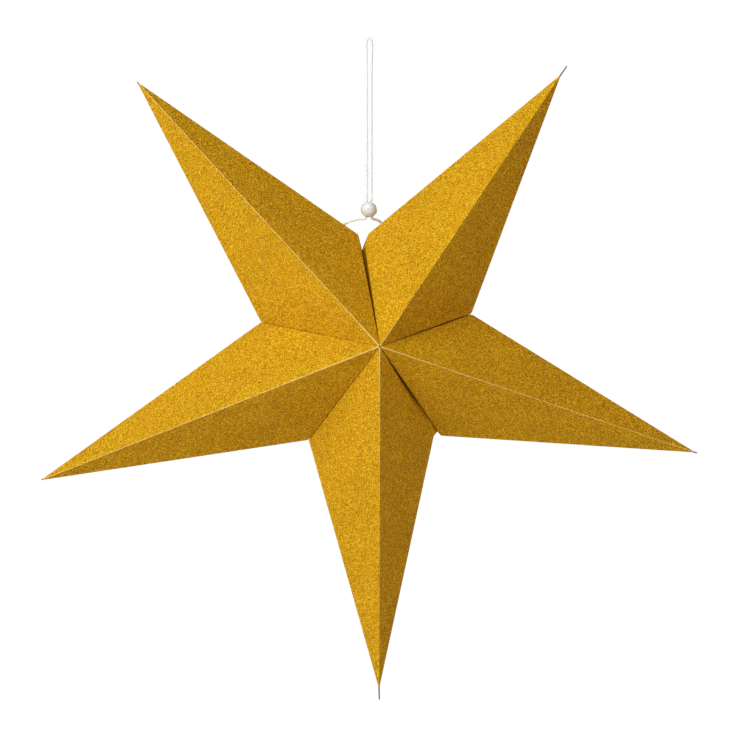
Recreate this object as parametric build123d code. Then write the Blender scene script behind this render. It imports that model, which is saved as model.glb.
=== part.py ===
from build123d import *
import os
from math import cos, radians, sin, sqrt, tan

# Hanging five-pointed star of folded card, in millimetres.
# The front faces -Y, +Z is up, and the origin is the hanging point inside the top of the cord's loop.

# The star
STAR_DROP = 282.0  # from the hanging point down to the star's middle axis
HALF_DEPTH = 86.0  # from the mid plane to the front or the back apex
CARD = 0.5  # thickness of the card
GLUE_LINE = 0.1  # between two glued flaps
APEX_GAP = 1.4  # each blank stops this far from the middle axis
FLAP_WIDTH = 13.0  # of the folded-in glue flaps along the valleys
FLAP_OUTER_CUT = 34.0  # degrees between a valley fold and the flap's end at the notch
FLAP_INNER_CUT = 60.0  # the same at the apex
WINDOW_REACH = 8.0  # of the cutter between a front and a back flap, to each side of their fold
SEAM_WIDTH = 10.0  # of the glued seam inside the back ridge
SEAM_ENDS = (20.0, 50.0)  # from the axis, and from where the side edges meet
BLADE = 1.2  # thickness of a tip that is pressed flat
SHORTEST_FLAT = 2.0  # of a pressed tip, back from where the side edges meet

# Valleys between neighbouring points, anticlockwise as seen from the front: azimuth of the glued
# flaps, azimuth and notch radius of the clockwise point's fold, the same of the anticlockwise
# point's, and how deep below the folds the two flaps meet
VALLEYS = {
    "top": (94.4, 92.55, 101.4, 95.45, 104.4, 7.0),
    "upper_left": (166.7, 166.55, 101.8, 166.85, 101.8, 3.0),
    "lower_left": (236.6, 236.25, 101.2, 236.95, 101.2, 3.0),
    "lower_right": (309.6, 306.5, 100.6, 310.2, 105.5, 2.6),
    "upper_right": (378.4, 377.75, 100.8, 379.05, 100.8, 4.0),
}
# Points, anticlockwise: azimuth of the ridge, radius where the side edges meet, length pressed flat
# beyond it, and the valleys on the clockwise and anticlockwise sides
POINTS = {
    "point_upper_left": (131.3, 317.8, 1.8, "top", "upper_left"),
    "point_left": (201.9, 317.6, 1.6, "upper_left", "lower_left"),
    "point_bottom": (271.7, 308.8, 12.5, "lower_left", "lower_right"),
    "point_right": (342.45, 317.5, 4.0, "lower_right", "upper_right"),
    "point_upper_right": (414.8, 307.2, 11.8, "upper_right", "top"),
}
CORNER_CUT = ((-0.6, 104.6), (-3.4, 96.9))  # x and height above the axis: top corner of the upper right

# Cord and bead
CORD_DIAMETER = 2.6
STRAND_OFFSET = 2.0  # of each strand from the middle, all the way through the bead
LOOP_RADIUS = 2.6  # of the cord's centre line round the top of the loop
HOLE_DIAMETER = 4.2
HOLE_INSET = 6.0  # from the side edge
HOLE_ALONG = {"point_upper_left": 16.5, "point_upper_right": 22.0}  # from the notch
KNOT_DIAMETER = 6.6
EXIT_HEIGHT = 5.0  # of the cord's first bend above the panel it leaves
PARTING_HEIGHT = 117.8 - STAR_DROP  # where the strands part below the bead
LARGEST_BEND = 40.0
BEAD_DIAMETER = 15.1
BEAD_BORE = 7.0
BEAD_MOUTH = 0.3  # rounding of the bore's two mouths
BEAD_HEIGHT = 126.7 - STAR_DROP

WORLD = 1500.0  # a block larger than everything


def spot(radius, azimuth, depth=0.0):
    """A place given round the star's axis, depth counted towards the back."""
    angle = radians(azimuth)
    return Vector(radius * cos(angle), depth, radius * sin(angle) - STAR_DROP)


def radial_plane(azimuth, shift=0.0):
    """The plane through the axis at an azimuth, facing anticlockwise, moved that way by shift."""
    angle = radians(azimuth)
    normal = Vector(-sin(angle), 0, cos(angle))
    return Plane(origin=spot(0, 0) + normal * shift, x_dir=(cos(angle), 0, sin(angle)), z_dir=normal)


def plane_through(a, b, c, inside):
    """The plane through three places that faces away from the place inside."""
    normal = (b - a).cross(c - a).normalized()
    if normal.dot(inside - a) > 0:
        normal = normal * -1
    return Plane(origin=a, z_dir=normal)


def within(planes, inset=0.0):
    """The solid behind all of the planes, each of them moved inwards by inset."""
    solid = Solid.make_box(WORLD, WORLD, WORLD, Plane((-WORLD / 2, -WORLD / 2, -WORLD / 2)))
    for plane in planes:
        solid = split(solid, bisect_by=plane.offset(-inset), keep=Keep.BOTTOM)
    return solid


def fold_of(valley, side):
    """Azimuth and notch radius of one point's fold; side is +1 where the valley is anticlockwise of it."""
    seat, azimuth_before, radius_before, azimuth_after, radius_after, meet = VALLEYS[valley]
    return (azimuth_before, radius_before) if side > 0 else (azimuth_after, radius_after)


def panel_plane(name, side, face):
    """The outside of one of a point's four panels; face is -1 at the front and +1 at the back."""
    azimuth, reach, flat, before, after = POINTS[name]
    fold, notch = fold_of(after if side > 0 else before, side)
    tip, apex = spot(reach, azimuth), spot(0, 0, face * HALF_DEPTH)
    return plane_through(tip, spot(notch, fold), apex, spot(notch / 2, azimuth))


def flap_planes(name, side):
    """The outsides of the flaps on one side: two webs from the folds, and the glued face they reach."""
    azimuth, reach, flat, before, after = POINTS[name]
    valley = after if side > 0 else before
    fold, notch = fold_of(valley, side)
    seat, meet = VALLEYS[valley][0], VALLEYS[valley][-1]
    below = meet * sqrt(1 + (HALF_DEPTH / notch) ** 2)  # straight behind the fold's middle
    webs = []
    for face in (-1, 1):
        apex = spot(0, 0, face * HALF_DEPTH)
        halfway = spot(notch / 2, seat, face * (HALF_DEPTH / 2 - below))
        webs.append(plane_through(apex, spot(notch, fold), halfway, spot(notch / 2, azimuth)))
    glued = radial_plane(seat, -side * GLUE_LINE / 2)
    return webs + [glued if side > 0 else Plane(glued.origin, z_dir=glued.z_dir * -1)]


def window(name, side):
    """The cutter that leaves two flaps with slanted ends out of one side's full wall."""
    azimuth, reach, flat, before, after = POINTS[name]
    fold, notch = fold_of(after if side > 0 else before, side)
    valley_line = (Vector(0, HALF_DEPTH) - Vector(notch, 0)).normalized()
    inwards = Vector(-abs(valley_line.Y), -abs(valley_line.X))
    outer_corner = (
        Vector(notch, 0) + valley_line * (FLAP_WIDTH / tan(radians(FLAP_OUTER_CUT))) + inwards * FLAP_WIDTH
    )
    start = Vector(0, HALF_DEPTH) - valley_line * 4 * APEX_GAP
    inner_corner = start - valley_line * (FLAP_WIDTH / tan(radians(FLAP_INNER_CUT))) + inwards * FLAP_WIDTH
    half = [Vector(notch - 2 * CARD, 0), outer_corner, inner_corner, start, Vector(-FLAP_WIDTH, start.Y)]
    outline = [(p.X, p.Y) for p in half] + [(p.X, -p.Y) for p in reversed(half[1:])]
    seat = radial_plane(fold)
    wall = Plane(seat.origin, x_dir=seat.x_dir, z_dir=seat.z_dir)
    return extrude(wall * make_face(Polyline(*outline, close=True)), amount=WINDOW_REACH, both=True)


def seam(name, panels):
    """The glued strip of card inside the back ridge."""
    azimuth, reach, flat, before, after = POINTS[name]
    from_axis, from_tip = SEAM_ENDS
    middle = radial_plane(azimuth)
    outer_end = Plane(origin=spot(reach - from_tip, azimuth), z_dir=middle.x_dir)
    inner_end = Plane(origin=spot(from_axis, azimuth), z_dir=middle.x_dir * -1)
    half_turned = SEAM_WIDTH / sqrt(2)  # the strip lies on a slanting panel
    side = Plane(radial_plane(azimuth, -half_turned).origin, z_dir=middle.z_dir * -1)
    region = [outer_end, inner_end, middle, side, Plane(origin=spot(0, 0), z_dir=(0, -1, 0))]
    return (within(panels, CARD) - within(panels, 2 * CARD)) & within(region)


def flat_tip(name):
    """The end of a point, where both layers of card are pressed together."""
    azimuth, reach, flat, before, after = POINTS[name]
    start = reach - max(flat, SHORTEST_FLAT)
    height = HALF_DEPTH * (1 - start / reach)
    outline = [(start, -height), (reach + flat, -CARD), (reach + flat, CARD), (start, height)]
    middle = radial_plane(azimuth)
    frame = Plane(middle.origin, x_dir=middle.x_dir, z_dir=middle.z_dir)
    return extrude(frame * make_face(Polyline(*outline, close=True)), amount=BLADE / 2, both=True)


def hole_centre(name):
    """Where the cord goes through the back panel, and that panel's outside."""
    azimuth, reach, flat, before, after = POINTS[name]
    side = 1 if after == "top" else -1
    fold, notch = fold_of("top", side)
    corner, tip = spot(notch, fold), spot(reach, azimuth)
    along = (tip - corner).normalized()
    panel = panel_plane(name, side, 1)
    across = panel.z_dir.cross(along)
    if across.Y < 0:
        across = across * -1
    return corner + along * HOLE_ALONG[name] + across * HOLE_INSET, panel


def folded_point(name):
    """One point of the star, folded from one blank of card and open towards the axis."""
    azimuth, reach, flat, before, after = POINTS[name]
    panels = [panel_plane(name, side, face) for side in (-1, 1) for face in (-1, 1)]
    flaps = flap_planes(name, -1) + flap_planes(name, 1)
    apex_cut = Plane(origin=spot(APEX_GAP, azimuth), z_dir=radial_plane(azimuth).x_dir * -1)
    card = within(panels + flaps + [apex_cut]) - within(panels + flaps, CARD)
    card -= window(name, -1)
    card -= window(name, 1)
    card += seam(name, panels)
    card += flat_tip(name)
    if name in HOLE_ALONG:
        centre, panel = hole_centre(name)
        punch = Plane(centre, z_dir=panel.z_dir) * Circle(HOLE_DIAMETER / 2)
        card -= extrude(punch, amount=HOLE_DIAMETER / 2, both=True)
    if name == "point_upper_right":
        (x1, z1), (x2, z2) = CORNER_CUT
        upper, lower = Vector(x1, 0, z1 - STAR_DROP), Vector(x2, 0, z2 - STAR_DROP)
        cut = plane_through(upper, lower, lower + Vector(0, 1, 0), spot(reach, azimuth))
        card = split(card, bisect_by=cut, keep=Keep.BOTTOM)
    return card


def cord_route():
    """Corner points of the cord: from the left knot, through the bead, round the loop, to the right knot."""
    left_hole, left_panel = hole_centre("point_upper_left")
    right_hole, right_panel = hole_centre("point_upper_right")
    knot_depth = CARD + sqrt(KNOT_DIAMETER**2 - HOLE_DIAMETER**2) / 2 + GLUE_LINE
    left = [
        left_hole - left_panel.z_dir * knot_depth,
        left_hole + left_panel.z_dir * EXIT_HEIGHT,
        Vector(-17.0, 4.5, PARTING_HEIGHT - 1.6),
        Vector(-9.5, 1.6, PARTING_HEIGHT + 0.5),
        Vector(-STRAND_OFFSET, 0, PARTING_HEIGHT),
        Vector(-STRAND_OFFSET, 0, -24),
        Vector(-LOOP_RADIUS, 0, -12),
        Vector(-LOOP_RADIUS, 0, CORD_DIAMETER / 2),
    ]
    right = [
        Vector(LOOP_RADIUS, 0, CORD_DIAMETER / 2),
        Vector(LOOP_RADIUS, 0, -12),
        Vector(STRAND_OFFSET, 0, -24),
        Vector(STRAND_OFFSET, 0, PARTING_HEIGHT),
        Vector(8.2, 3.2, PARTING_HEIGHT - 0.2),
        right_hole + right_panel.z_dir * EXIT_HEIGHT,
        right_hole - right_panel.z_dir * knot_depth,
    ]
    return left + right


def bend_radii(route):
    """The largest arc that each corner's two runs allow."""
    radii = []
    for before, corner, after in zip(route, route[1:], route[2:]):
        run_in, run_out = corner - before, after - corner
        half_turn = radians(run_in.get_angle(run_out) / 2)
        radii.append(0.45 * min(run_in.length, run_out.length) / tan(half_turn))
    return radii


def hanging_cord():
    """One cord with a knot at each end."""
    route = cord_route()
    radii = [min(radius, LARGEST_BEND) for radius in bend_radii(route)]
    print("cord bend radii:", [round(radius, 1) for radius in radii])
    path = FilletPolyline(*route, radius=radii)
    section = Plane(origin=path @ 0, z_dir=path % 0) * Circle(CORD_DIAMETER / 2)
    tube = sweep(section, path=path)
    print("cord length", round(path.length, 1), "volume by length",
          round(tube.volume / (section.area * path.length), 4))
    knots = [Pos(*end) * Sphere(KNOT_DIAMETER / 2) for end in (route[0], route[-1])]
    return tube + knots


def bead():
    """A round bead on both strands."""
    ball = Sphere(BEAD_DIAMETER / 2) - Cylinder(BEAD_BORE / 2, BEAD_DIAMETER)
    mouths = ball.edges().filter_by(GeomType.CIRCLE).filter_by(lambda edge: edge.radius < BEAD_DIAMETER / 3)
    return Pos(0, 0, BEAD_HEIGHT) * fillet(mouths, BEAD_MOUTH)


os.makedirs("parts", exist_ok=True)
for point_name in POINTS:
    export_step(folded_point(point_name), f"parts/{point_name}.step")
export_step(hanging_cord(), "parts/hanging_cord.step")
export_step(bead(), "parts/bead.step")
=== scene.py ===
import bpy
import bmesh
from math import cos, pi, radians, sin
from mathutils import Matrix, Vector


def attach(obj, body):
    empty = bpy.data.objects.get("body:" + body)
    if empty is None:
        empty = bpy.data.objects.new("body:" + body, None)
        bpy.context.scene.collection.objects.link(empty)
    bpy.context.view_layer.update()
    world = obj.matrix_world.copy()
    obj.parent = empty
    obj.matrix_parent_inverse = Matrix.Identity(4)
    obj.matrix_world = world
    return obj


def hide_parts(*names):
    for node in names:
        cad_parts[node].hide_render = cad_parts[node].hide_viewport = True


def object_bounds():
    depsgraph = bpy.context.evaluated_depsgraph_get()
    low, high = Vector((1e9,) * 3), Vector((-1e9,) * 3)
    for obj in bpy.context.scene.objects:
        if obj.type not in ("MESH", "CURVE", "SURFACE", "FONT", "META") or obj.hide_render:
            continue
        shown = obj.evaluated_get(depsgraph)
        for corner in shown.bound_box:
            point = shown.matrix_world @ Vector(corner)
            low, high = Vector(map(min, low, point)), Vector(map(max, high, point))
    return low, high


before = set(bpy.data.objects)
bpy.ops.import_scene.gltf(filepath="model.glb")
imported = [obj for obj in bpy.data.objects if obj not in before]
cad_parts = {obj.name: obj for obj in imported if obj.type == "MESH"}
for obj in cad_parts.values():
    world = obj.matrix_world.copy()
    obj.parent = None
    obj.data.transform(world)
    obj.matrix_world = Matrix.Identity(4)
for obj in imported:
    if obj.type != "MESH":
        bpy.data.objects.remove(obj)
cad_low, cad_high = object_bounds()

# Sizes and places, in metres. The star faces -Y, +Z is up, and the origin is the hanging point.
STAR_CENTRE = Vector((0, 0, -0.282))
HALF_DEPTH = 0.086
CARD = 0.0005
APEX_GAP = 0.0009  # from the star's axis to the cut corners
FLAP_APEX_GAP = 4 * APEX_GAP  # from the apex to the flaps' inner ends, along the valley
FLAP_WIDTH = 0.013
FLAP_OUTER_CUT = 0.0195  # how far along the valley a flap's end slants, at the notch
FLAP_INNER_CUT = 0.0075  # the same at the apex
GLUE_GAP = 0.00006  # from the middle of a glued seam to each of its two flaps
FOLD_RADIUS = 0.00035
BLADE = 0.0016  # width of a tip that is pressed flat
LAYERS_APART = 0.0006  # from the middle of a flat tip's end to each of its two layers
CORD_DIAMETER = 0.0026
CORD_HOLE_RADIUS = 0.0021
BEAD_HEIGHT = -0.1553

# Valleys: azimuth of the glued flaps, azimuth and notch radius of the clockwise point's fold, the
# same of the anticlockwise point's, and the depths at which the two flaps meet, at the notch and
# near the apex
VALLEYS = {
    "top": (94.4, 92.55, 0.1014, 95.45, 0.1044, 0.0065, 0.010),
    "upper_left": (166.7, 166.55, 0.1018, 166.85, 0.1018, 0.0012, 0.003),
    "lower_left": (236.6, 236.25, 0.1012, 236.95, 0.1012, 0.0012, 0.003),
    "lower_right": (309.6, 306.5, 0.1006, 310.2, 0.1055, 0.0008, 0.008),
    "upper_right": (378.4, 377.75, 0.1008, 379.05, 0.1008, 0.0015, 0.008),
}
# Points: azimuth of the ridge, radius where the side edges meet, length pressed flat beyond it, the
# valleys clockwise and anticlockwise of it, and how far its front ridge is cracked
POINTS = {
    "point_upper_left": (131.3, 0.3178, 0.0018, "top", "upper_left", 1.35),
    "point_left": (201.9, 0.3176, 0.0016, "upper_left", "lower_left", 1.35),
    "point_bottom": (271.7, 0.3088, 0.0125, "lower_left", "lower_right", 1.0),
    "point_right": (342.45, 0.3175, 0.0040, "lower_right", "upper_right", 1.35),
    "point_upper_right": (414.8, 0.3072, 0.0118, "upper_right", "top", 0.65),
}
CORD_HOLES = {  # centre of the hole in the back panel, and the way out of it
    "point_upper_left": (Vector((-0.0259, 0.0044, -0.1722)), Vector((0.408, 0.684, 0.605))),
    "point_upper_right": (Vector((0.0151, 0.0044, -0.1699)), Vector((-0.463, 0.686, 0.562))),
}
# The upper right point's notch corner is cut off along the line from the first place to the second
CORNER_CUT = (Vector((-0.0034, 0, -0.1851)), Vector((-0.0006, 0, -0.1774)))
# The cord's route, from the knot in the upper left point, through the bead, round the loop and back
CORD_ROUTE = [
    (-0.0272, 0.0022, -0.1741), (-0.0238, 0.0078, -0.1692), (-0.0170, 0.0045, -0.1658),
    (-0.0095, 0.0016, -0.1637), (-0.0020, 0.0, -0.1642), (-0.0020, 0.0, -0.1560),
    (-0.0021, 0.0, -0.0900), (-0.0020, 0.0, -0.0240), (-0.0026, 0.0, -0.0120), (-0.0026, 0.0, 0.0013),
    (0.0026, 0.0, 0.0013), (0.0026, 0.0, -0.0120), (0.0020, 0.0, -0.0240), (0.0021, 0.0, -0.0900),
    (0.0020, 0.0, -0.1560), (0.0020, 0.0, -0.1642), (0.0082, 0.0032, -0.1644),
    (0.0128, 0.0078, -0.1671), (0.0165, 0.0022, -0.1716),
]

# Studio
LIGHT_DISTANCE = 4.5
KEY_POWER = 162.0
SIDE_POWER = 46.0
BACK_POWER = 92.0
FILL = 0.25  # mean strength of the surround's light
FILL_SLANT = 0.5  # share by which it is stronger from the front, left and above, and weaker opposite
FILL_FROM = Vector((-0.35, -0.75, 0.45)).normalized()
SEEN_STRENGTH = 1.02  # of the surround, as the camera sees it
FLOOR_RADIUS = 2.3
FLOOR_DROP = 0.45  # from the lowest tip down to the floor


# Camera, before the pieces

def studio_camera():
    """A long lens a little to the left of the star and a little below its middle."""
    azimuth, elevation, distance, aim_below = radians(-6.43), radians(-0.93), 2.112, 0.0192
    back = Vector((sin(azimuth) * cos(elevation), -cos(azimuth) * cos(elevation), sin(elevation)))
    place = STAR_CENTRE + back * distance
    aim = STAR_CENTRE - Vector((0, 0, aim_below))
    turn = (aim - place).to_track_quat("-Z", "Y").to_euler()
    bpy.ops.object.camera_add(location=place, rotation=turn)
    camera = bpy.context.object
    camera.name = "camera"
    camera.data.lens = 112.7
    camera.data.sensor_width = 36
    bpy.context.scene.camera = camera


# Helpers for modelling

def nothing_selected():
    """Back in object mode with nothing selected."""
    if bpy.context.object and bpy.context.object.mode != "OBJECT":
        bpy.ops.object.mode_set(mode="OBJECT")
    bpy.ops.object.select_all(action="DESELECT")


def only_selected(things):
    """Several pieces selected and no others, with the first one active."""
    nothing_selected()
    for thing in things:
        thing.select_set(True)
    bpy.context.view_layer.objects.active = things[0]


def select_points(test):
    """In edit mode, selects the vertices whose place passes the test, and the edges between them."""
    mesh = bmesh.from_edit_mesh(bpy.context.object.data)
    bpy.ops.mesh.select_all(action="DESELECT")
    for vertex in mesh.verts:
        vertex.select_set(bool(test(vertex.co)))
    mesh.select_flush(True)
    bmesh.update_edit_mesh(bpy.context.object.data)


def near(place, reach=2e-5):
    """A test for one corner."""
    return lambda co: (co - place).length < reach


def off_line(co, start, end):
    """How far a place is from the line through two others."""
    along = (end - start).normalized()
    out = co - start
    return (out - along * out.dot(along)).length


def move_corner(old, new):
    """Moves the one vertex at a place to another."""
    select_points(near(old))
    bpy.ops.transform.translate(value=new - old)


def apply_place():
    """Puts the selected piece's place, turn and size into its mesh."""
    bpy.ops.object.transform_apply(location=True, rotation=True, scale=True)


def apply_modifiers(thing):
    """Applies all of a piece's modifiers, in order."""
    only_selected([thing])
    for name in [modifier.name for modifier in thing.modifiers]:
        bpy.ops.object.modifier_apply(modifier=name)


def joined(things, name, material):
    """Several curves as one smooth mesh piece."""
    only_selected(things)
    bpy.ops.object.convert(target="MESH")
    bpy.ops.object.join()
    piece = bpy.context.object
    piece.name = piece.data.name = name
    piece.data.materials.append(material)
    bpy.ops.object.shade_smooth()
    return piece


def new_curve(name, kind, count):
    """A curve in space, not yet in the scene, with one spline of that many points."""
    line = bpy.data.curves.new(name, "CURVE")
    line.dimensions = "3D"
    spline = line.splines.new(kind)
    spline.points.add(count - 1)
    return line, spline


def in_scene(name, data):
    """Data as an object in the scene."""
    made = bpy.data.objects.new(name, data)
    bpy.context.scene.collection.objects.link(made)
    return made


# Materials

def new_material(name):
    """An empty node material, its node tree, its shader and its object coordinates."""
    material = bpy.data.materials.new(name)
    material.use_nodes = True
    tree = material.node_tree
    return material, tree, tree.nodes["Principled BSDF"], node(tree, "ShaderNodeTexCoord").outputs["Object"]


def node(tree, kind, *linked, **settings):
    """A new node: its first inputs linked, and its properties or other inputs set by name."""
    made = tree.nodes.new(kind)
    for key, value in settings.items():
        if hasattr(made, key):
            setattr(made, key, value)
        else:
            made.inputs[key.replace("_", " ")].default_value = value
    for slot, value in enumerate(linked):
        tree.links.new(value, made.inputs[slot])
    return made


def maths(tree, operation, *values, clamp=False):
    """A Math node fed by sockets or numbers."""
    made = tree.nodes.new("ShaderNodeMath")
    made.operation = operation
    made.use_clamp = clamp
    for slot, value in enumerate(values):
        if isinstance(value, (int, float)):
            made.inputs[slot].default_value = value
        else:
            tree.links.new(value, made.inputs[slot])
    return made.outputs[0]


def mixed(tree, factor, first, second, blend="MIX"):
    """A colour mix fed by sockets or colours."""
    made = tree.nodes.new("ShaderNodeMix")
    made.data_type = "RGBA"
    made.blend_type = blend
    for slot, value in ((0, factor), (6, first), (7, second)):
        if isinstance(value, (int, float)):
            made.inputs[slot].default_value = value
        elif isinstance(value, tuple):
            made.inputs[slot].default_value = (*value, 1)
        else:
            tree.links.new(value, made.inputs[slot])
    return made.outputs[2]


def relief(tree, shader, height, strength, distance):
    """Fine relief on the shader's surface."""
    bump = node(tree, "ShaderNodeBump", Strength=strength, Distance=distance)
    tree.links.new(height, bump.inputs["Height"])
    tree.links.new(bump.outputs[0], shader.inputs["Normal"])


def flake_colour(tree, place, flake, brightness):
    """Golds from brown to pale, one to a flake, a little cloudy and drifting over the card."""
    grain_share, grain_start, clump_share = 0.85, -0.02, 0.26
    drift_share, drift_start = 0.22, 0.89
    golds = (
        (0.0, (0.24, 0.09, 0.004)),
        (0.3, (0.46, 0.215, 0.008)),
        (0.7, (0.74, 0.40, 0.013)),
        (0.9, (0.92, 0.58, 0.03)),
        (1.0, (1.0, 0.72, 0.09)),
    )
    clumps = node(tree, "ShaderNodeTexNoise", place, Scale=420.0, Detail=2.0, Roughness=0.6)
    drift = node(tree, "ShaderNodeTexNoise", place, Scale=28.0, Detail=2.0, Roughness=0.5)
    grain = maths(tree, "MULTIPLY_ADD", flake, grain_share, grain_start)
    cloudy = maths(tree, "MULTIPLY", clumps.outputs["Fac"], clump_share)
    tone = node(tree, "ShaderNodeValToRGB", maths(tree, "ADD", grain, cloudy))
    stops = tone.color_ramp.elements
    stops[0].color, stops[1].color = (*golds[0][1], 1), (*golds[-1][1], 1)
    for position, colour in golds[1:-1]:
        stops.new(position).color = (*colour, 1)
    slow = maths(tree, "MULTIPLY_ADD", drift.outputs["Fac"], drift_share * brightness,
                 drift_start * brightness)
    return mixed(tree, 1.0, tone.outputs["Color"], slow, "MULTIPLY")


def cracked_folds(tree, place):
    """White core: 1 where it is bare, 0.5 where a side fold is worn, and 0 where the glitter is whole."""
    crack_start, crack_width = 0.25, 0.00085
    side_start, side_width, side_worn = 0.40, 0.0012, 0.5
    bare_radius = 0.0052
    folds = node(tree, "ShaderNodeAttribute", attribute_name="fold_distance")
    noted = node(tree, "ShaderNodeSeparateXYZ", folds.outputs["Vector"]).outputs
    ragged = node(tree, "ShaderNodeTexNoise", place, Scale=900.0, Detail=3.0, Roughness=0.7).outputs["Fac"]
    # along a ridge, where a place is nearer to it than the crack is wide there
    cracked = maths(tree, "MULTIPLY", maths(tree, "SUBTRACT", ragged, crack_start), noted["Z"])
    # all round the very middle, where the ten cut corners meet
    from_middle = node(tree, "ShaderNodeVectorMath", place, operation="SUBTRACT")
    from_middle.inputs[1].default_value = STAR_CENTRE
    across = node(tree, "ShaderNodeVectorMath", from_middle.outputs[0], operation="MULTIPLY")
    across.inputs[1].default_value = (1, 0, 1)
    from_axis = node(tree, "ShaderNodeVectorMath", across.outputs[0], operation="LENGTH")
    frayed = maths(tree, "MULTIPLY", ragged, bare_radius)
    bare = maths(tree, "MAXIMUM", maths(tree, "SUBTRACT", frayed, from_axis.outputs["Value"]), 0.0)
    ridge = maths(tree, "LESS_THAN", noted["X"],
                  maths(tree, "ADD", maths(tree, "MULTIPLY", cracked, crack_width), bare))
    # along the side folds, fainter
    side_reach = maths(tree, "MULTIPLY", maths(tree, "SUBTRACT", ragged, side_start), side_width)
    side = maths(tree, "LESS_THAN", noted["Y"], side_reach)
    return maths(tree, "MAXIMUM", ridge, maths(tree, "MULTIPLY", side, side_worn))


def flake_slope(tree, place, flakes):
    """A height that rises across each flake in its own direction."""
    centred = node(tree, "ShaderNodeVectorMath", flakes.outputs["Color"], operation="SUBTRACT")
    centred.inputs[1].default_value = (0.5, 0.5, 0.5)
    offset = node(tree, "ShaderNodeVectorMath", place, flakes.outputs["Position"], operation="SUBTRACT")
    slope = node(tree, "ShaderNodeVectorMath", centred.outputs[0], offset.outputs[0],
                 operation="DOT_PRODUCT")
    return slope.outputs["Value"]


def glitter_gold(name, brightness):
    """Card covered with fine gold glitter, its white core showing where a fold has cracked it."""
    shiny_above, shiny_metal, roughness_share, roughness_start = 0.55, 0.65, 0.25, 0.48
    dull_tint, shiny_tint, core = (1.0, 0.88, 0.90), (1.0, 1.15, 1.12), (0.86, 0.62, 0.26)
    material, tree, shader, place = new_material(name)
    flakes = node(tree, "ShaderNodeTexVoronoi", Scale=1600.0, Randomness=1.0)
    tree.links.new(place, flakes.inputs["Vector"])
    random = node(tree, "ShaderNodeSeparateColor", flakes.outputs["Color"]).outputs
    gold = flake_colour(tree, place, random["Red"], brightness)
    shiny = maths(tree, "GREATER_THAN", random["Blue"], shiny_above)
    flaked = mixed(tree, 1.0, gold, mixed(tree, shiny, dull_tint, shiny_tint), "MULTIPLY")
    white = cracked_folds(tree, place)
    tree.links.new(mixed(tree, white, flaked, core), shader.inputs["Base Color"])
    metal = maths(tree, "MULTIPLY", maths(tree, "SUBTRACT", shiny, white, clamp=True), shiny_metal)
    tree.links.new(metal, shader.inputs["Metallic"])
    rough = maths(tree, "MULTIPLY_ADD", random["Green"], roughness_share, roughness_start)
    tree.links.new(rough, shader.inputs["Roughness"])
    shader.inputs["Specular IOR Level"].default_value = 0.12
    shader.inputs["Specular Tint"].default_value = (1.0, 0.7, 0.2, 1)
    relief(tree, shader, flake_slope(tree, place, flakes), 0.55, 1.0)
    return material


def fibrous(name, light, dark, scale, detail, strength, distance, roughness):
    """Paper or yarn with fine fibres, in two colours."""
    material, tree, shader, place = new_material(name)
    fibres = node(tree, "ShaderNodeTexNoise", place, Scale=scale, Detail=detail, Roughness=0.7)
    tree.links.new(mixed(tree, fibres.outputs["Fac"], light, dark), shader.inputs["Base Color"])
    relief(tree, shader, fibres.outputs["Fac"], strength, distance)
    shader.inputs["Roughness"].default_value = roughness
    return material


def plain_card(name, light, dark, scale):
    """Uncoated paper with faint fibres."""
    return fibrous(name, light, dark, scale, 5.0, 0.3, 0.0001, 0.85)


def white_yarn():
    """Soft white twisted yarn with fine fibres."""
    material = fibrous("white yarn", (0.78, 0.82, 0.96), (0.90, 0.93, 1.0), 2600.0, 4.0, 0.5, 0.0002, 0.8)
    material.node_tree.nodes["Principled BSDF"].inputs["Sheen Weight"].default_value = 0.3
    return material


def white_gloss():
    """Glossy white bead, very slightly uneven."""
    roughness_share, roughness_start = 0.12, 0.14
    material, tree, shader, place = new_material("white gloss")
    cloud = node(tree, "ShaderNodeTexNoise", place, Scale=160.0, Detail=3.0).outputs["Fac"]
    colour = mixed(tree, cloud, (0.68, 0.70, 0.82), (0.76, 0.78, 0.91))
    tree.links.new(colour, shader.inputs["Base Color"])
    rough = maths(tree, "MULTIPLY_ADD", cloud, roughness_share, roughness_start)
    tree.links.new(rough, shader.inputs["Roughness"])
    shader.inputs["Coat Weight"].default_value = 0.4
    return material


# A card's materials, in the order of its slots
CARD_MATERIALS = [
    glitter_gold("gold glitter card", 1.0),
    plain_card("card inside", (0.78, 0.76, 0.70), (0.66, 0.63, 0.56), 700.0),
    plain_card("card cut edge", (0.80, 0.76, 0.66), (0.58, 0.50, 0.36), 1500.0),
    # The pressed tip's dark brown is painted shade for the flattened tip seen edge-on
    plain_card("pressed tip painted dark as shade", (0.25, 0.17, 0.085), (0.15, 0.10, 0.055), 900.0),
    # The turned-in flaps get the same glitter at 0.6 of its brightness: painted shade for the deep valleys
    # they lie in
    glitter_gold("gold glitter on the turned-in flaps", 0.6),
]
GOLD, INSIDE, CUT_EDGE, PRESSED_TIP_PAINTED_SHADE, FLAP_PAINTED_SHADE_GOLD = range(len(CARD_MATERIALS))
YARN = white_yarn()


# The cord

def points_along(line, spacing):
    """Evenly spaced places along a curve with no bevel, and its length."""
    route = in_scene("cord route", line)
    mesh = bpy.data.meshes.new_from_object(route)
    raw = [vertex.co.copy() for vertex in mesh.vertices]
    bpy.data.objects.remove(route)
    lengths = [0.0]
    for first, second in zip(raw, raw[1:]):
        lengths.append(lengths[-1] + (second - first).length)
    count = round(lengths[-1] / spacing)
    places, at = [], 0
    for step in range(count + 1):
        target = lengths[-1] * step / count
        while at < len(raw) - 2 and lengths[at + 1] < target:
            at += 1
        share = (target - lengths[at]) / max(lengths[at + 1] - lengths[at], 1e-9)
        places.append(raw[at].lerp(raw[at + 1], min(max(share, 0.0), 1.0)))
    return places, lengths[-1]


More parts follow.
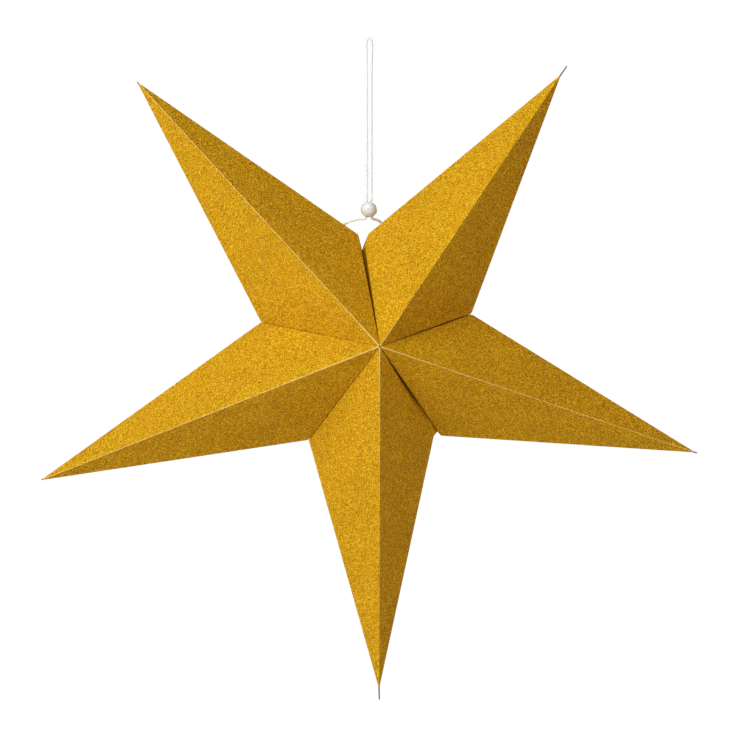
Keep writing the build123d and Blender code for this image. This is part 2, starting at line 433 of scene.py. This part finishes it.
def strand(path, phase, twist, offset, thickness):
    """One ply that winds round a path: a poly curve with a round section."""
    line, spline = new_curve("ply", "POLY", len(path))
    line.bevel_depth = thickness / 2
    line.bevel_resolution = 3
    line.use_fill_caps = True
    side = Vector((0, 1, 0))
    travelled = 0.0
    for step, place in enumerate(path):
        ahead = (path[min(step + 1, len(path) - 1)] - path[max(step - 1, 0)]).normalized()
        side = (side - ahead * side.dot(ahead)).normalized()
        across = ahead.cross(side)
        if step:
            travelled += (place - path[step - 1]).length
        angle = phase + 2 * pi * travelled / twist
        spline.points[step].co = (*(place + (side * cos(angle) + across * sin(angle)) * offset), 1)
    return in_scene("ply", line)


def twisted_cord():
    """Three plies twisted together along the route's smooth centre line."""
    plies, twist, spacing, ply = 3, 0.0078, 0.0005, CORD_DIAMETER * 0.57
    line, spline = new_curve("cord route", "NURBS", len(CORD_ROUTE))
    for control, place in zip(spline.points, CORD_ROUTE):
        control.co = (*place, 1)
    spline.order_u = 3
    spline.use_endpoint_u = True
    spline.resolution_u = 24
    path, length = points_along(line, spacing)
    offset = (CORD_DIAMETER - ply) / 2
    strands = [strand(path, 2 * pi * turn / plies, twist, offset, ply) for turn in range(plies)]
    return joined(strands, "cord", YARN), path, length


def cord_knots():
    """An overhand knot pulled tight at each end of the cord."""
    count, size, thickness = 36, 0.000697, CORD_DIAMETER * 0.84
    knots = []
    for end in (Vector(CORD_ROUTE[0]), Vector(CORD_ROUTE[-1])):
        line, spline = new_curve("knot", "NURBS", count)
        line.bevel_depth = thickness / 2
        line.bevel_resolution = 3
        for step, control in enumerate(spline.points):
            angle = 2 * pi * step / count
            trefoil = Vector((
                sin(angle) + 2 * sin(2 * angle),
                cos(angle) - 2 * cos(2 * angle),
                -sin(3 * angle),
            ))
            control.co = (*(end + trefoil * size), 1)
        spline.use_cyclic_u = True
        knots.append(in_scene("knot", line))
    return joined(knots, "cord_knots", YARN)


# The bead

def round_bead():
    """A ball cut flat at the bore's two mouths, bridged through, with softened rims."""
    radius, bore, rim = 0.00755, 0.0035, 0.0003
    cut = (radius**2 - (bore + rim) ** 2) ** 0.5
    narrower = bore / (bore + rim)

    def at_mouth(co):
        return abs(abs(co.z - BEAD_HEIGHT) - cut) < 1e-6

    nothing_selected()
    bpy.ops.mesh.primitive_uv_sphere_add(segments=64, ring_count=48, radius=radius,
                                         location=(0, 0, BEAD_HEIGHT))
    ball = bpy.context.object
    ball.name = ball.data.name = "white_bead"
    apply_place()
    bpy.ops.object.mode_set(mode="EDIT")
    for side in (1, -1):
        bpy.ops.mesh.select_all(action="SELECT")
        bpy.ops.mesh.bisect(plane_co=(0, 0, BEAD_HEIGHT + side * cut), plane_no=(0, 0, side),
                            clear_outer=True)
    select_points(at_mouth)
    bpy.ops.mesh.extrude_region_move()
    bpy.ops.transform.resize(value=(narrower, narrower, 1), center_override=(0, 0, BEAD_HEIGHT))
    bpy.ops.mesh.bridge_edge_loops()
    select_points(lambda co: at_mouth(co) and abs(co.xy.length - bore) < 1e-5)
    bpy.ops.mesh.bevel(offset=rim * 0.8, segments=3, affect="EDGES")
    bpy.ops.mesh.select_all(action="SELECT")
    bpy.ops.mesh.normals_make_consistent(inside=False)
    bpy.ops.object.mode_set(mode="OBJECT")
    bpy.ops.object.shade_smooth_by_angle(angle=radians(40))
    ball.data.materials.append(white_gloss())
    return ball


# The folded card points

class Pattern:
    """Where the corners of one folded point are, with its tip up +Z and its clockwise side at +X."""

    def __init__(self, name):
        self.azimuth, self.reach, self.flat, before, after, self.cracked = POINTS[name]
        self.sides = {}
        for side, valley in ((1, before), (-1, after)):
            seat, azimuth_before, radius_before, azimuth_after, radius_after, *meet = VALLEYS[valley]
            fold, notch = (azimuth_after, radius_after) if side > 0 else (azimuth_before, radius_before)
            fold_angle, seat_angle = radians(self.azimuth - fold), radians(self.azimuth - seat)
            corner = Vector((notch * sin(fold_angle), 0, notch * cos(fold_angle)))
            self.sides[side] = (corner, seat_angle, meet)
        thinnest = 0.00075
        self.tip_rise = max(HALF_DEPTH * self.flat / self.reach / 2, thinnest)

    def apex(self, face):
        return Vector((0, face * HALF_DEPTH, 0))

    def tip_front(self, face):
        return Vector((0, face * self.tip_rise, self.reach))

    def tip_side(self, side):
        return Vector((side * BLADE / 2, 0, self.reach))

    def fold_lines(self):
        """The ends of the ridges, of the side folds and of the valleys."""
        ridges = [(self.apex(face), self.tip_front(face)) for face in (-1, 1)]
        sides = [(self.sides[side][0], self.tip_side(side)) for side in (-1, 1)]
        valleys = [(self.sides[side][0], self.apex(face)) for side in (-1, 1) for face in (-1, 1)]
        return ridges, sides, valleys

    def on_flap(self, co):
        """Whether a place is on a flap: well behind the panel that the flap is turned in from."""
        behind = 0.0012
        face, side = (1 if co.y > 0 else -1), (1 if co.x > 0 else -1)
        apex, corner = self.apex(face), self.sides[side][0]
        out = (self.tip_front(face) - apex).cross(corner - apex).normalized()
        return abs((co - apex).dot(out)) > behind

    def in_place(self):
        """The matrix that turns the point to its azimuth and puts it on the star's axis."""
        return Matrix.Translation(STAR_CENTRE) @ Matrix.Rotation(pi / 2 - radians(self.azimuth), 4, "Y")


def fold_panels(pattern):
    """A four-sided cone whose corners are moved to the apexes, the notches and the flat tip."""
    base = 0.06
    bpy.ops.mesh.primitive_cone_add(vertices=4, radius1=base, radius2=BLADE / 2, depth=pattern.reach,
                                    end_fill_type="NOTHING", location=(0, 0, pattern.reach / 2))
    apply_place()
    bpy.ops.object.mode_set(mode="EDIT")
    for face in (-1, 1):
        move_corner(Vector((0, face * base, 0)), pattern.apex(face))
        move_corner(Vector((0, face * BLADE / 2, pattern.reach)), pattern.tip_front(face))
    for side in (-1, 1):
        move_corner(Vector((side * base, 0, 0)), pattern.sides[side][0])


def press_tip(pattern):
    """Carries the two layers on past the point where the side edges meet, slightly narrower."""
    narrower = 0.95
    select_points(lambda co: co.z > pattern.reach - 1e-5)
    bpy.ops.mesh.extrude_region_move(TRANSFORM_OT_translate={"value": (0, 0, pattern.flat)})
    bpy.ops.transform.resize(value=(narrower, LAYERS_APART / pattern.tip_rise, 1),
                             center_override=(0, 0, pattern.reach + pattern.flat))


def cut_apex():
    """Stops the card short of the star's axis."""
    bpy.ops.mesh.select_all(action="SELECT")
    bpy.ops.mesh.bisect(plane_co=(0, 0, APEX_GAP), plane_no=(0, 0, 1), clear_inner=True)


def turn_in_flaps(pattern):
    """Extrudes a flap from each of the four valley folds, in two steps: down to the neighbour's flap,
    then along it. Its ends are cut at a slant."""
    for side in (-1, 1):
        corner, seat_angle, meet = pattern.sides[side]
        notch = Vector((sin(seat_angle), 0, cos(seat_angle))) * corner.length
        glue = Vector((cos(seat_angle), 0, -sin(seat_angle))) * side * -GLUE_GAP
        for face in (-1, 1):
            apex, to_middle = pattern.apex(face), Vector((0, -face, 0))
            fold = (apex - corner).normalized()
            edge = (corner, corner + fold * ((corner.z - APEX_GAP) / -fold.z))
            along = (apex - notch).normalized()
            inwards = (to_middle - along * to_middle.dot(along)).normalized()
            for outer_depth, inner_depth in (meet, (FLAP_WIDTH, FLAP_WIDTH)):
                outer_end = along * FLAP_OUTER_CUT * outer_depth / FLAP_WIDTH + inwards * outer_depth
                inner_end = along * FLAP_INNER_CUT * inner_depth / FLAP_WIDTH - inwards * inner_depth
                wanted = (notch + outer_end + glue, apex - along * FLAP_APEX_GAP - inner_end + glue)
                step = inwards * 0.001
                select_points(lambda co: near(edge[0])(co) or near(edge[1])(co))
                bpy.ops.mesh.extrude_region_move(TRANSFORM_OT_translate={"value": step})
                move_corner(edge[0] + step, wanted[0])
                move_corner(edge[1] + step, wanted[1])
                edge = wanted


def soften_folds():
    """Rounds the folds, then divides the card so that it can bow a little."""
    least_fold = radians(8)
    bpy.ops.mesh.select_mode(type="EDGE")
    mesh = bmesh.from_edit_mesh(bpy.context.object.data)
    bpy.ops.mesh.select_all(action="DESELECT")
    for edge in mesh.edges:
        if len(edge.link_faces) == 2 and edge.calc_face_angle(0) > least_fold:
            edge.select_set(True)
    bmesh.update_edit_mesh(bpy.context.object.data)
    bpy.ops.mesh.bevel(offset=FOLD_RADIUS, segments=3, affect="EDGES", clamp_overlap=True)
    bpy.ops.mesh.select_mode(type="VERT")
    bpy.ops.mesh.select_all(action="SELECT")
    bpy.ops.mesh.normals_make_consistent(inside=False)
    bpy.ops.mesh.subdivide(number_cuts=11)


def bow_card(card, pattern):
    """A slight swell that is nothing on the folds and full in the middle of a panel."""
    full_swell_from = 0.018
    folds = [line for lines in pattern.fold_lines() for line in lines]
    group = card.vertex_groups.new(name="between folds")
    for vertex in card.data.vertices:
        clear = min(off_line(vertex.co, *line) for line in folds)
        group.add([vertex.index], min(clear / full_swell_from, 1.0), "REPLACE")
    swell = bpy.data.textures.new("card swell", "CLOUDS")
    swell.noise_scale = 0.09
    swell.noise_depth = 1
    bend = card.modifiers.new("swell", "DISPLACE")
    bend.texture = swell
    bend.texture_coords = "OBJECT"
    bend.strength = 0.0011
    bend.mid_level = 0.5
    bend.vertex_group = group.name


def note_folds(card, pattern):
    """Writes how far each place is from its ridge and its side fold, and how cracked the ridge is.
    Gives the outside of the flaps a darker gold and the flat tip a dark brown, both painted shade."""
    back_cracked, more_at_middle, middle_radius = 1.0, 1.3, 0.05
    back_to_pattern = pattern.in_place().inverted()
    ridges, sides, _ = pattern.fold_lines()
    noted = card.data.attributes.new("fold_distance", "FLOAT_VECTOR", "POINT")
    for vertex, value in zip(card.data.vertices, noted.data):
        co = back_to_pattern @ vertex.co
        front = co.y < 0
        near_middle = max(0.0, 1 - co.z / middle_radius)
        value.vector = (
            off_line(co, *ridges[0 if front else 1]),
            min(off_line(co, *line) for line in sides),
            (pattern.cracked if front else back_cracked) * (1 + more_at_middle * near_middle),
        )
    for face in card.data.polygons:
        middle = back_to_pattern @ face.center
        if middle.z > pattern.reach:
            # the flat tip's dark brown is painted shade
            face.material_index = PRESSED_TIP_PAINTED_SHADE
        # the flaps' darker gold is painted shade
        elif face.material_index == GOLD and pattern.on_flap(middle):
            face.material_index = FLAP_PAINTED_SHADE_GOLD


def cut_corner():
    """Cuts the notch corner off the card in hand."""
    lower, upper = CORNER_CUT
    bpy.ops.object.mode_set(mode="EDIT")
    bpy.ops.mesh.select_all(action="SELECT")
    bpy.ops.mesh.bisect(plane_co=upper, plane_no=(upper - lower).cross(Vector((0, 1, 0))).normalized(),
                        clear_outer=True)
    bpy.ops.object.mode_set(mode="OBJECT")


def thicken(card):
    """Gives the card its thickness, inwards."""
    thick = card.modifiers.new("card", "SOLIDIFY")
    thick.thickness = CARD
    thick.offset = -1
    thick.use_even_offset = True
    thick.material_offset = INSIDE
    thick.material_offset_rim = CUT_EDGE
    apply_modifiers(card)


def drill(card, name):
    """The hole that the cord goes through."""
    centre, way = CORD_HOLES[name]
    nothing_selected()
    bpy.ops.mesh.primitive_cylinder_add(vertices=32, radius=CORD_HOLE_RADIUS, depth=0.006,
                                        location=centre, rotation=way.to_track_quat("Z", "Y").to_euler())
    punch = bpy.context.object
    for material in CARD_MATERIALS[:CUT_EDGE + 1]:
        punch.data.materials.append(material)
    for face in punch.data.polygons:
        face.material_index = CUT_EDGE
    cut = card.modifiers.new("cord hole", "BOOLEAN")
    cut.object = punch
    cut.solver = "EXACT"
    apply_modifiers(card)
    bpy.data.objects.remove(punch)


def folded_point(name):
    """One point: panels, flat tip and flaps of one blank, folded, thickened and turned into its place."""
    pattern = Pattern(name)
    nothing_selected()
    fold_panels(pattern)
    press_tip(pattern)
    cut_apex()
    turn_in_flaps(pattern)
    soften_folds()
    bpy.ops.object.mode_set(mode="OBJECT")
    card = bpy.context.object
    card.name = card.data.name = "card_" + name
    bow_card(card, pattern)
    apply_modifiers(card)
    card.matrix_world = pattern.in_place()
    apply_place()
    if name == "point_upper_right":
        cut_corner()
    for material in CARD_MATERIALS:
        card.data.materials.append(material)
    thicken(card)
    if name in CORD_HOLES:
        drill(card, name)
    card.vertex_groups.clear()
    only_selected([card])
    bpy.ops.object.shade_smooth_by_angle(angle=radians(12))
    note_folds(card, pattern)
    return card


# Studio

def softbox(name, way, size, power, colour):
    """A square soft light that faces the star from the given direction."""
    towards = Vector(way).normalized()
    bpy.ops.object.light_add(type="AREA", location=STAR_CENTRE + towards * LIGHT_DISTANCE,
                             rotation=towards.to_track_quat("Z", "Y").to_euler())
    light = bpy.context.object
    light.name = name
    light.data.shape = "SQUARE"
    light.data.size = size
    light.data.energy = power
    light.data.color = colour
    light.visible_camera = False


def pale_floor():
    """A round floor, pale grey below the star and glowing white towards its rim."""
    glow_from, glow_to, glow_strength = 1.5, 2.2, 0.9
    nothing_selected()
    bpy.ops.mesh.primitive_circle_add(vertices=128, radius=FLOOR_RADIUS, fill_type="NGON",
                                      location=(0, 0, cad_low.z - FLOOR_DROP))
    floor = bpy.context.object
    floor.name = "floor"
    apply_place()
    material, tree, shader, place = new_material("pale floor")
    distance = node(tree, "ShaderNodeVectorMath", place, operation="LENGTH").outputs["Value"]
    away = node(tree, "ShaderNodeMapRange", distance, interpolation_type="SMOOTHSTEP", From_Min=glow_from,
                From_Max=glow_to).outputs[0]
    grain = node(tree, "ShaderNodeTexNoise", place, Scale=3.0, Detail=3.0).outputs["Fac"]
    near_colour = mixed(tree, grain, (0.58, 0.58, 0.58), (0.62, 0.62, 0.62))
    colour = mixed(tree, away, near_colour, (0.92, 0.92, 0.92))
    tree.links.new(colour, shader.inputs["Base Color"])
    shader.inputs["Roughness"].default_value = 0.9
    shader.inputs["Emission Color"].default_value = (1, 1, 1, 1)
    tree.links.new(maths(tree, "MULTIPLY", away, glow_strength), shader.inputs["Emission Strength"])
    floor.data.materials.append(material)


def white_surround():
    """White to the camera, and to the pieces a weak warm light, strongest from the front and above."""
    world = bpy.data.worlds.new("white surround")
    bpy.context.scene.world = world
    world.use_nodes = True
    tree = world.node_tree
    background = tree.nodes["Background"]
    way = node(tree, "ShaderNodeTexCoord").outputs["Generated"]
    facing = node(tree, "ShaderNodeVectorMath", way, operation="DOT_PRODUCT")
    facing.inputs[1].default_value = FILL_FROM
    fill = maths(tree, "MULTIPLY_ADD", facing.outputs["Value"], FILL * FILL_SLANT, FILL)
    seen = node(tree, "ShaderNodeLightPath").outputs["Is Camera Ray"]
    strength = maths(tree, "MAXIMUM", fill, maths(tree, "MULTIPLY", seen, SEEN_STRENGTH))
    tree.links.new(strength, background.inputs["Strength"])
    colour = mixed(tree, seen, (1.0, 0.67, 0.52), (1.0, 1.0, 1.0))
    tree.links.new(colour, background.inputs["Color"])


def studio():
    """A plain pale floor, a white surround and soft lights from the front left and from behind."""
    pale_floor()
    white_surround()
    softbox("key softbox", (-0.43, -0.70, 0.59), 2.2, KEY_POWER, (0.86, 1.0, 0.82))
    softbox("side softbox", (-0.80, -0.60, 0.02), 1.3, SIDE_POWER, (1.0, 1.0, 0.9))
    softbox("back softbox", (0.20, 0.95, 0.33), 2.4, BACK_POWER, (1.0, 1.0, 1.0))
    view = bpy.context.scene.view_settings
    view.view_transform = "Standard"
    view.look = "None"


studio_camera()
cord, cord_path, cord_length = twisted_cord()
knots = cord_knots()
bead = round_bead()
cards = [folded_point(name) for name in POINTS]
studio()

for piece, name in zip(cards, POINTS):
    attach(piece, "star")
    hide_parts(name)
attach(cord, "star")
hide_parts("hanging_cord")
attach(knots, "star")
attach(bead, "bead")
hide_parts("bead")
